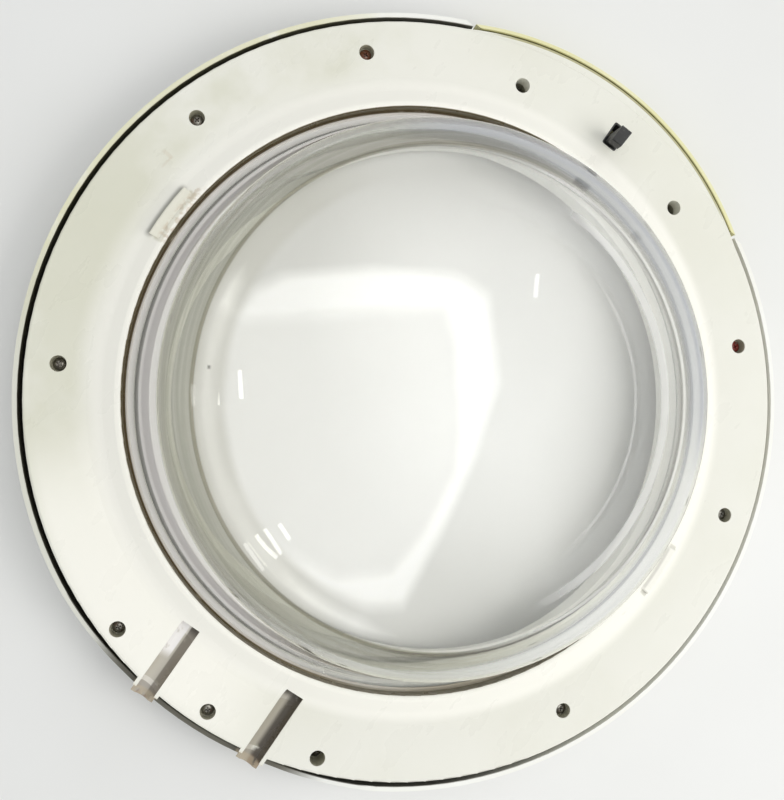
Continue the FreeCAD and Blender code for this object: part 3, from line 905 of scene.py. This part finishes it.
@dataclass
class GlassBowl:
    """Pressed glass bowl and the crust of scale round its foot (millimetres)."""

    wall: float = 5.0
    seat: float = 30.0
    seat_gap: float = 0.08
    flange_radius: float = 180.0
    flange_round: float = 1.0
    root_radius: float = 168.5
    root_round: float = 4.0
    crown_radius: float = 149.3
    crown_height: float = 106.0
    crown_round: float = 18.0
    inner_round: float = 20.0
    face_radius: float = 127.8
    dome: float = 3.0
    crust_radius: float = 172.6
    crust_width: float = 2.4
    crust_height: float = 1.0
    root_facets: int = 8
    crown_facets: int = 14
    dome_facets: int = 20
    bowl_facets: int = 256
    crust_facets: int = 360
    smooth_angle: float = 60.0

    def dome_ball(self) -> Span:
        """Find the ball that the domed face is cut from.

        Returns:
            Radius of the ball and half of the angle that the face takes, in degrees.
        """
        ball = (self.face_radius ** 2 + self.dome ** 2) / (2 * self.dome)
        return ball, math.degrees(math.asin(self.face_radius / ball))

    def bowl(self) -> bmesh.types.BMesh:
        """Model the glass.

        Returns:
            Its mesh.
        """
        foot = self.seat + self.seat_gap
        top = self.seat + self.wall
        summit = self.crown_height + self.dome
        lean = math.atan2(self.root_radius - self.crown_radius, self.crown_height - top)
        slant = self.wall / math.cos(lean)
        inner_crown_radius = self.crown_radius - slant + self.wall * math.tan(lean)
        inner_root_radius = self.root_radius - slant + self.wall * math.tan(lean)
        section = Section(self.flange_radius, foot)
        section.line(self.flange_radius, top, self.flange_round)
        section.line(self.root_radius, top, self.root_round, self.root_facets)
        section.line(self.crown_radius, self.crown_height, self.crown_round, self.crown_facets)
        section.line(self.face_radius, self.crown_height)
        ball, half = self.dome_ball()
        section.arc(summit - ball, half, self.dome_facets)
        section.line(0.0, summit - self.wall)
        section.arc(summit - self.wall - ball, -half, self.dome_facets)
        section.line(inner_crown_radius, self.crown_height - self.wall, self.inner_round,
                     self.crown_facets)
        section.line(inner_root_radius, foot, self.root_round + self.wall, self.root_facets)
        section.close()
        return section.spun(self.bowl_facets)

    def crust(self) -> bmesh.types.BMesh:
        """Model the crust of scale in the corner between the glass and the collar.

        Returns:
            Its mesh.
        """
        low = self.seat + self.wall
        outer = self.crust_radius + self.crust_width
        section = Section(self.crust_radius, low)
        section.line(self.crust_radius, low + self.crust_height, self.crust_height / 2, segments=4)
        section.line(outer, low + self.crust_height / 3, self.crust_height / 4, segments=3)
        section.line(outer, low)
        section.close()
        return section.spun(self.crust_facets)

    def build(self) -> None:
        """Make and dress the glass and the crust."""
        glass = Piece("glass_bowl_clear", self.bowl(), self.smooth_angle)
        glass.dress(GLASS.make(), Body.DOOR, "clear_glass", "glass_bowl")
        glass.item.visible_shadow = False
        Piece("scale_crust_ring", self.crust()).dress(SCALE_CRUST.make(), Body.DOOR, "cream_plastic")


@dataclass
class Latch:
    """Handle, pin, hook and spring at the rim (millimetres)."""

    nodes: dict[str, bpy.types.Object]
    pivot: Span = (-204.0, 7.5)
    pin_radius: float = 2.0
    pin_length: float = 53.0
    pin_chamfer: float = 0.4
    wire: float = 1.2
    coil_radius: float = 4.0
    pitch: float = 1.5
    turns: float = 3.25
    coil_start: float = 9.0
    leg: float = 13.0
    foot: float = 7.0
    hook_width: float = 7.2
    hook_offset: float = 4.2
    pin_facets: int = 32
    wire_facets: int = 12
    elbow_facets: int = 6
    coil_facets: int = 32

    def about_pin(self) -> Matrix:
        """Place a piece that was turned about Z on the pin's axis, along Y."""
        place = Matrix.Translation(Vector((self.pivot[0] * MM, 0.0, self.pivot[1] * MM)))
        return place @ Matrix.Rotation(math.radians(-90.0), 4, "X")

    def pin(self) -> bmesh.types.BMesh:
        """Model the pin with chamfered ends.

        Returns:
            Its mesh.
        """
        half = self.pin_length / 2
        section = Section(0.0, -half)
        for end in (-half, half):
            section.line(self.pin_radius, end, self.pin_chamfer, segments=2)
        section.line(0.0, half)
        mesh = section.spun(self.pin_facets)
        bmesh.ops.transform(mesh, matrix=self.about_pin(), verts=mesh.verts[:])
        return mesh

    def spring(self) -> bmesh.types.BMesh:
        """Model the torsion spring: a leg behind the hook, a close coil and a foot.

        Returns:
            Its mesh.
        """
        mesh = bmesh.new()
        x, z = (place * MM for place in self.pivot)
        bmesh.ops.create_circle(mesh, cap_ends=False, radius=self.wire / 2 * MM,
                                segments=self.wire_facets)
        leg_top = Vector((x - self.coil_radius * MM, self.coil_start * MM, z + self.leg * MM))
        bmesh.ops.translate(mesh, verts=mesh.verts[:], vec=leg_top)
        leg_end = mesh.edges[:]
        elbow = Vector((0.0, -self.wire * MM, 0.0))
        reach = self.coil_start - self.hook_offset + self.hook_width / 2
        loop = self.bend(mesh, leg_end, leg_top + elbow, Axis.X, 90.0, self.elbow_facets)
        self.run(mesh, loop, Vector((0.0, -reach * MM, 0.0)) - elbow)
        loop = self.run(mesh, leg_end, Vector((0.0, 0.0, -self.leg * MM)))
        loop = self.bend(mesh, loop, Vector((x, self.coil_start * MM, z)), Axis.Y, -360.0 * self.turns,
                         int(self.turns * self.coil_facets), self.pitch * self.turns * MM)
        self.run(mesh, loop, Vector((self.foot * MM, 0.0, 0.0)))
        bmesh.ops.holes_fill(mesh, edges=mesh.edges[:], sides=0)
        bmesh.ops.recalc_face_normals(mesh, faces=mesh.faces[:])
        return mesh

    @staticmethod
    def bend(mesh: bmesh.types.BMesh, loop: list[bmesh.types.BMEdge], centre: Vector, axis: Axis,
             angle: float, steps: int, climb: float = 0.0) -> list[bmesh.types.BMEdge]:
        """Carry the wire round a bend.

        Args:
            mesh: mesh of the wire.
            loop: end of the wire.
            centre: centre of the bend.
            axis: axis of the bend.
            angle: how far it turns, in degrees.
            steps: facets of the bend.
            climb: how far it moves along the axis meanwhile, in metres.

        Returns:
            The new end of the wire.
        """
        verts = list(dict.fromkeys(vert for edge in loop for vert in edge.verts))
        made = bmesh.ops.spin(mesh, geom=verts + loop, cent=centre, axis=axis.value,
                              dvec=Vector(axis.value) * climb / steps, angle=math.radians(angle),
                              steps=steps, use_duplicate=False)
        return [item for item in made["geom_last"] if isinstance(item, bmesh.types.BMEdge)]

    @staticmethod
    def run(mesh: bmesh.types.BMesh, loop: list[bmesh.types.BMEdge],
            way: Vector) -> list[bmesh.types.BMEdge]:
        """Carry the wire straight on.

        Args:
            mesh: mesh of the wire.
            loop: end of the wire.
            way: where it goes.

        Returns:
            The new end of the wire.
        """
        made = bmesh.ops.extrude_edge_only(mesh, edges=loop)["geom"]
        verts = [item for item in made if isinstance(item, bmesh.types.BMVert)]
        bmesh.ops.translate(mesh, verts=verts, vec=way)
        return [item for item in made if isinstance(item, bmesh.types.BMEdge)
                and all(vert in made for vert in item.verts)]

    def build(self) -> None:
        """Make and dress the latch."""
        dress_node(self.nodes["handle"], HANDLE_PLASTIC.make())
        black = HOOK_PLASTIC.make()
        for name in ("hook", "latch_case"):
            dress_node(self.nodes[name], black)
        Piece("pin_rod", self.pin()).dress(PIN_STEEL.make(), Body.DOOR, "steel", "handle_pin")
        spring = Piece("spring_wire", self.spring())
        spring.wear(SPRING_STEEL.make(), "spring_steel", "hook_spring")
        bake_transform(spring.item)


@dataclass
class ScrewSet:
    """Pan-head screws with cross recesses, in the wells of the back ring (millimetres, degrees)."""

    back_height: float = 36.0
    head_radius: float = 3.7
    head_height: float = 2.4
    head_edge: float = 0.2
    brim_share: float = 0.62
    brim_round: float = 0.9
    crown_share: float = 0.45
    crown_round: float = 1.6
    shank_radius: float = 1.9
    shank_length: float = 14.4
    tip_length: float = 1.6
    recess_width: float = 0.95
    recess_span: float = 4.4
    recess_depth: float = 1.7
    recess_taper: Place = (0.45, 0.7, 1.0)
    ring_circle: float = 211.1
    ring_angles: tuple[float, ...] = (60.0, -60.0, 105.0, -105.0, 135.0, -135.0)
    ring_sink: float = 4.0
    hinge_circle: float = 220.1
    hinge_angles: tuple[float, ...] = (-18.4, 0.0, 18.4)
    hinge_sinks: tuple[float, ...] = (6.0, 4.0, 12.0)
    latch_circle: float = 204.6
    latch_angles: tuple[float, ...] = (162.4, -162.4)
    latch_sink: float = 13.0
    twist_step: float = 37.0
    facets: int = 28
    smooth_angle: float = 38.0

    def head(self) -> bmesh.types.BMesh:
        """Model one screw, its seat at the origin.

        Returns:
            Its mesh, without the recess.
        """
        section = Section(0.0, -self.shank_length)
        section.line(self.shank_radius, self.tip_length - self.shank_length)
        section.line(self.shank_radius, 0.0)
        section.line(self.head_radius, 0.0, self.head_edge, segments=2)
        section.line(self.head_radius, self.head_height * self.brim_share, self.brim_round, segments=5)
        section.line(self.head_radius * self.crown_share, self.head_height, self.crown_round, segments=4)
        section.line(0.0, self.head_height)
        return section.spun(self.facets)

    def cutter(self) -> bmesh.types.BMesh:
        """Model the cross that is pressed into a head.

        Returns:
            Its mesh.
        """
        mesh = bmesh.new()
        for turn in (0.0, math.pi / 2):
            bar = bmesh.ops.create_cube(mesh, size=1.0)["verts"]
            bmesh.ops.scale(mesh, verts=bar, vec=(self.recess_span * MM, self.recess_width * MM,
                                                  2 * self.recess_depth * MM))
            low = [vert for vert in bar if vert.co.z < 0]
            bmesh.ops.scale(mesh, verts=low, vec=self.recess_taper)
            bmesh.ops.rotate(mesh, verts=bar, cent=(0, 0, 0), matrix=Matrix.Rotation(turn, 3, "Z"))
        bmesh.ops.translate(mesh, verts=mesh.verts[:], vec=(0, 0, self.head_height * MM))
        return mesh

    def master(self) -> bpy.types.Mesh:
        """Cut the cross into the head.

        Returns:
            Mesh of one finished screw.
        """
        head = Piece("screw_master", self.head()).item
        cross = Piece("screw_cross", self.cutter()).item
        cut = head.modifiers.new("recess", "BOOLEAN")
        cut.object = cross
        cut.use_self = True
        cut.solver = "EXACT"
        scene_state = bpy.context.evaluated_depsgraph_get()
        shape = bpy.data.meshes.new_from_object(head.evaluated_get(scene_state))
        for item in (head, cross):
            bpy.data.objects.remove(item)
        return shape

    def gathered(self, master: bpy.types.Mesh, places: list[Place]) -> bmesh.types.BMesh:
        """Stand copies of the screw in their wells.

        Args:
            master: mesh of one screw.
            places: circle, heading and sink of each screw.

        Returns:
            All the copies as one mesh.
        """
        mesh = bmesh.new()
        for number, (circle, heading, sink) in enumerate(places):
            known = set(mesh.verts)
            mesh.from_mesh(master)
            fresh = [vert for vert in mesh.verts if vert not in known]
            seat = self.back_height - sink - self.head_height
            turn = Matrix.Rotation(math.radians(heading), 4, "Z")
            spot = Matrix.Translation((circle * MM, 0, seat * MM))
            twist = Matrix.Rotation(math.radians(self.twist_step * number + heading), 4, "Z")
            bmesh.ops.transform(mesh, matrix=turn @ spot @ twist, verts=fresh)
        return mesh

    def build(self) -> None:
        """Make and dress all the screws."""
        master = self.master()
        steel = SCREW_STEEL.make()
        groups = {
            "ring_screws": [(self.ring_circle, angle, self.ring_sink) for angle in self.ring_angles],
            "hinge_screws": [(self.hinge_circle, angle, sink)
                             for angle, sink in zip(self.hinge_angles, self.hinge_sinks)],
            "latch_screws": [(self.latch_circle, angle, self.latch_sink) for angle in self.latch_angles],
        }
        for node, places in groups.items():
            piece = Piece(node + "_cross", self.gathered(master, places), self.smooth_angle)
            piece.dress(steel, Body.DOOR, "steel", node)
        bpy.data.meshes.remove(master)


class Sheet(Enum):
    """What a card does to the light that comes past it."""

    GLOW = 1
    DIM = 2


# Name of the attribute that holds how much a card adds or lets through.
LEVEL = "level"
# Size, light and height of the thin bright strips (metres).
STRIP_WIDTH = 0.008
STRIP_LIGHT = 5.0
STRIP_HEIGHT = 1.1


@dataclass(frozen=True)
class Card:
    """A card over the door that shows only as a reflection in the glass (metres).

    Each ring is a share of the outline's size and the level there.
    """

    name: str
    sheet: Sheet
    corners: tuple[Span, ...]
    rings: tuple[Span, ...]
    height: float
    shift: Span = (0.0, 0.0)

    @staticmethod
    def strip(name: str, place: Span, length: float, heading: float) -> "Card":
        """Cut one thin bright strip.

        Args:
            name: name of the card.
            place: its middle.
            length: its length.
            heading: where its long side points, in degrees.

        Returns:
            The card.
        """
        turn = math.radians(heading)
        along = Vector((math.cos(turn), math.sin(turn))) * length / 2
        across = Vector((-math.sin(turn), math.cos(turn))) * STRIP_WIDTH / 2
        middle = Vector(place)
        corners = (middle - along - across, middle + along - across,
                   middle + along + across, middle - along + across)
        return Card(name, Sheet.GLOW, tuple((corner.x, corner.y) for corner in corners),
                    ((1.0, STRIP_LIGHT),), STRIP_HEIGHT)

    def shape(self) -> bmesh.types.BMesh:
        """Draw the card in rings, from its soft edge inwards, each with its own level.

        Returns:
            Its mesh.
        """
        mesh = bmesh.new()
        level = mesh.verts.layers.float.new(LEVEL)
        east, north = self.shift
        points = [Vector((x + east, y + north, self.height)) for x, y in self.corners]
        middle = sum(points, Vector()) / len(points)
        loop: list[bmesh.types.BMVert] = []
        for grow, amount in self.rings:
            outer, loop = loop, [mesh.verts.new(middle + (point - middle) * grow) for point in points]
            for number, vert in enumerate(loop):
                vert[level] = amount
                if outer:
                    mesh.faces.new((outer[number - 1], outer[number], vert, loop[number - 1]))
        mesh.faces.new(loop)
        return mesh

    def finish(self) -> bpy.types.Material:
        """Let the card add light or hold some back.

        Returns:
            The material.
        """
        graph = Graph(self.name)
        amount = graph.nodes.new("ShaderNodeAttribute")
        amount.attribute_name = LEVEL
        surface = graph.nodes.new("ShaderNodeBsdfTransparent").outputs[0]
        if self.sheet is Sheet.DIM:
            graph.links.new(amount.outputs["Fac"], surface.node.inputs["Color"])
        else:
            surface.node.inputs["Color"].default_value = (1.0, 1.0, 1.0, 1.0)
            glow = graph.nodes.new("ShaderNodeEmission")
            graph.links.new(amount.outputs["Fac"], glow.inputs["Strength"])
            both = graph.nodes.new("ShaderNodeAddShader")
            graph.links.new(glow.outputs[0], both.inputs[0])
            graph.links.new(surface, both.inputs[1])
            surface = both.outputs[0]
        graph.links.new(surface, graph.output.inputs["Surface"])
        graph.material.cycles.emission_sampling = "NONE"
        return graph.material

    def hang(self) -> None:
        """Make the card and keep it out of sight, of shadows and of soft light."""
        item = Piece(self.name, self.shape()).item
        item.data.materials.append(self.finish())
        item.visible_camera = False
        item.visible_diffuse = False
        item.visible_shadow = False


# Outlines of the bright window and of the dimmer pane inside it (metres).
WINDOW_CORNERS = (
    (-0.043, -0.258), (-0.107, -0.258), (-0.174, -0.225), (-0.294, -0.087), (-0.398, 0.072),
    (-0.401, 0.154), (-0.255, 0.282), (-0.184, 0.301), (-0.101, 0.329), (0.066, 0.361), (0.249, 0.387),
    (0.297, 0.322), (0.313, 0.213), (0.302, 0.099), (0.256, -0.033), (0.128, -0.172), (0.004, -0.237))
PANE_CORNERS = (
    (-0.031, -0.257), (-0.32, 0.083), (-0.284, 0.139), (-0.129, 0.264), (-0.038, 0.311), (0.095, 0.324),
    (0.205, 0.317), (0.277, 0.228), (0.293, 0.101), (0.253, -0.079), (0.116, -0.207))
CARDS = (
    Card("bright_card", Sheet.GLOW, WINDOW_CORNERS,
         ((1.08, 0.0), (1.06, 0.6), (1.02, 1.8), (0.98, 3.3), (0.96, 3.65)), 1.2),
    Card("dim_card", Sheet.DIM, PANE_CORNERS,
         ((1.05, 1.0), (1.0, 0.8), (0.95, 0.68), (0.91, 0.61)), 1.14),
    Card("glow_card", Sheet.GLOW, WINDOW_CORNERS,
         ((1.57, 0.0), (1.43, 0.35), (1.29, 0.7), (1.15, 1.05), (1.0, 1.4), (0.83, 1.75), (0.65, 2.05)),
         1.24, (-0.34, 0.17)),
    Card.strip("glint_card_a", (0.066, -0.165), 0.056, 39.0),
    Card.strip("glint_card_b", (0.109, -0.188), 0.038, 39.0),
    Card.strip("glint_card_c", (0.282, 0.068), 0.06, 69.0),
    Card.strip("glint_card_d", (0.253, 0.076), 0.04, 69.0),
    Card.strip("glint_card_e", (-0.466, 0.215), 0.05, 30.0),
)


@dataclass
class Studio:
    """Pale table, soft light and the camera (metres, degrees, and millimetres for the lens)."""

    table_size: float = 6.0
    table_light: Colour = tone(236, 236, 234)
    table_dark: Colour = tone(231, 231, 228)
    table_clouds: Mottle = Mottle(3.0, 3.0, 0.3, 0.7)
    table_wear: Mottle = Mottle(20.0, 4.0, 0.3, 0.7)
    table_gloss: Span = (0.5, 0.65)
    window_place: Place = (-0.3, 0.95, 1.1)
    window_size: float = 0.9
    window_power: float = 8.5
    window_colour: Colour = (1.0, 0.985, 0.95)
    room_colour: Colour = (0.97, 0.985, 1.0)
    room_low: float = 0.6
    room_high: float = 0.87
    camera_place: Place = (0.07559, -0.0935, 0.56562)
    focal_length: float = 40.5
    sensor_width: float = 36.0
    near_clip: float = 0.01
    up_turn: float = -234.6
    side_tilt: float = -10.71
    fore_tilt: float = 0.78
    bounces: int = 9

    def table(self) -> None:
        """Lay the table under the door."""
        mesh = bmesh.new()
        bmesh.ops.create_grid(mesh, x_segments=1, y_segments=1, size=self.table_size / 2)
        item = Piece("table_top", mesh).item
        graph = Graph("pale_table")
        colour = graph.mix(self.table_clouds.level(graph), self.table_light, self.table_dark)
        graph.feed(graph.shader.inputs["Base Color"], colour)
        graph.feed(graph.shader.inputs["Roughness"], self.table_wear.level(graph, *self.table_gloss))
        item.data.materials.append(graph.material)

    def window(self) -> None:
        """Hang the soft window light, aimed at the door and kept out of reflections."""
        light = bpy.data.lights.new("window", "AREA")
        light.shape = "RECTANGLE"
        light.size = self.window_size
        light.size_y = self.window_size
        light.energy = self.window_power
        light.color = self.window_colour
        item = bpy.data.objects.new("window", light)
        item.location = self.window_place
        item.rotation_euler = (-Vector(self.window_place)).to_track_quat("-Z", "Y").to_euler()
        item.visible_glossy = False
        item.visible_transmission = False
        item.visible_camera = False
        bpy.context.scene.collection.objects.link(item)

    def sky(self) -> None:
        """Light the room: bright overhead, darker to the sides."""
        world = bpy.data.worlds.new("room")
        world.use_nodes = True
        nodes, links = world.node_tree.nodes, world.node_tree.links
        parts = nodes.new("ShaderNodeSeparateXYZ")
        links.new(nodes.new("ShaderNodeTexCoord").outputs["Generated"], parts.inputs[0])
        rise = nodes.new("ShaderNodeMapRange")
        links.new(parts.outputs["Z"], rise.inputs["Value"])
        rise.inputs["From Min"].default_value = 0.0
        rise.inputs["To Min"].default_value = self.room_low
        rise.inputs["To Max"].default_value = self.room_high
        sky = nodes["Background"]
        sky.inputs["Color"].default_value = (*self.room_colour, 1.0)
        links.new(rise.outputs["Result"], sky.inputs["Strength"])
        bpy.context.scene.world = world

    def camera(self) -> None:
        """Set the camera where the door was seen from."""
        data = bpy.data.cameras.new("view")
        data.lens = self.focal_length
        data.sensor_width = self.sensor_width
        data.clip_start = self.near_clip
        item = bpy.data.objects.new("view", data)
        turn = (Matrix.Rotation(math.radians(self.up_turn), 4, "Z")
                @ Matrix.Rotation(math.radians(self.side_tilt), 4, "Y")
                @ Matrix.Rotation(math.radians(self.fore_tilt), 4, "X"))
        item.matrix_world = Matrix.Translation(self.camera_place) @ turn
        bpy.context.scene.collection.objects.link(item)
        bpy.context.scene.camera = item

    def build(self) -> None:
        """Set up the table, the light and the camera."""
        bpy.context.scene.view_settings.view_transform = "Standard"
        cycles = bpy.context.scene.cycles
        cycles.max_bounces = self.bounces
        cycles.transmission_bounces = self.bounces
        cycles.glossy_bounces = self.bounces
        cycles.transparent_max_bounces = self.bounces
        self.sky()
        self.table()
        self.window()
        for card in CARDS:
            card.hang()
        self.camera()


def main() -> None:
    """Build the door piece by piece, then the studio, and note the sizes."""
    logging.basicConfig(level=logging.INFO)
    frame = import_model()
    nodes = frame["nodes"]
    for assembly in (RingPair(nodes), GlassBowl(), Latch(nodes), ScrewSet(), Studio()):
        assembly.build()
        LOG.info("%s is done", type(assembly).__name__)


if __name__ == "__main__":
    main()
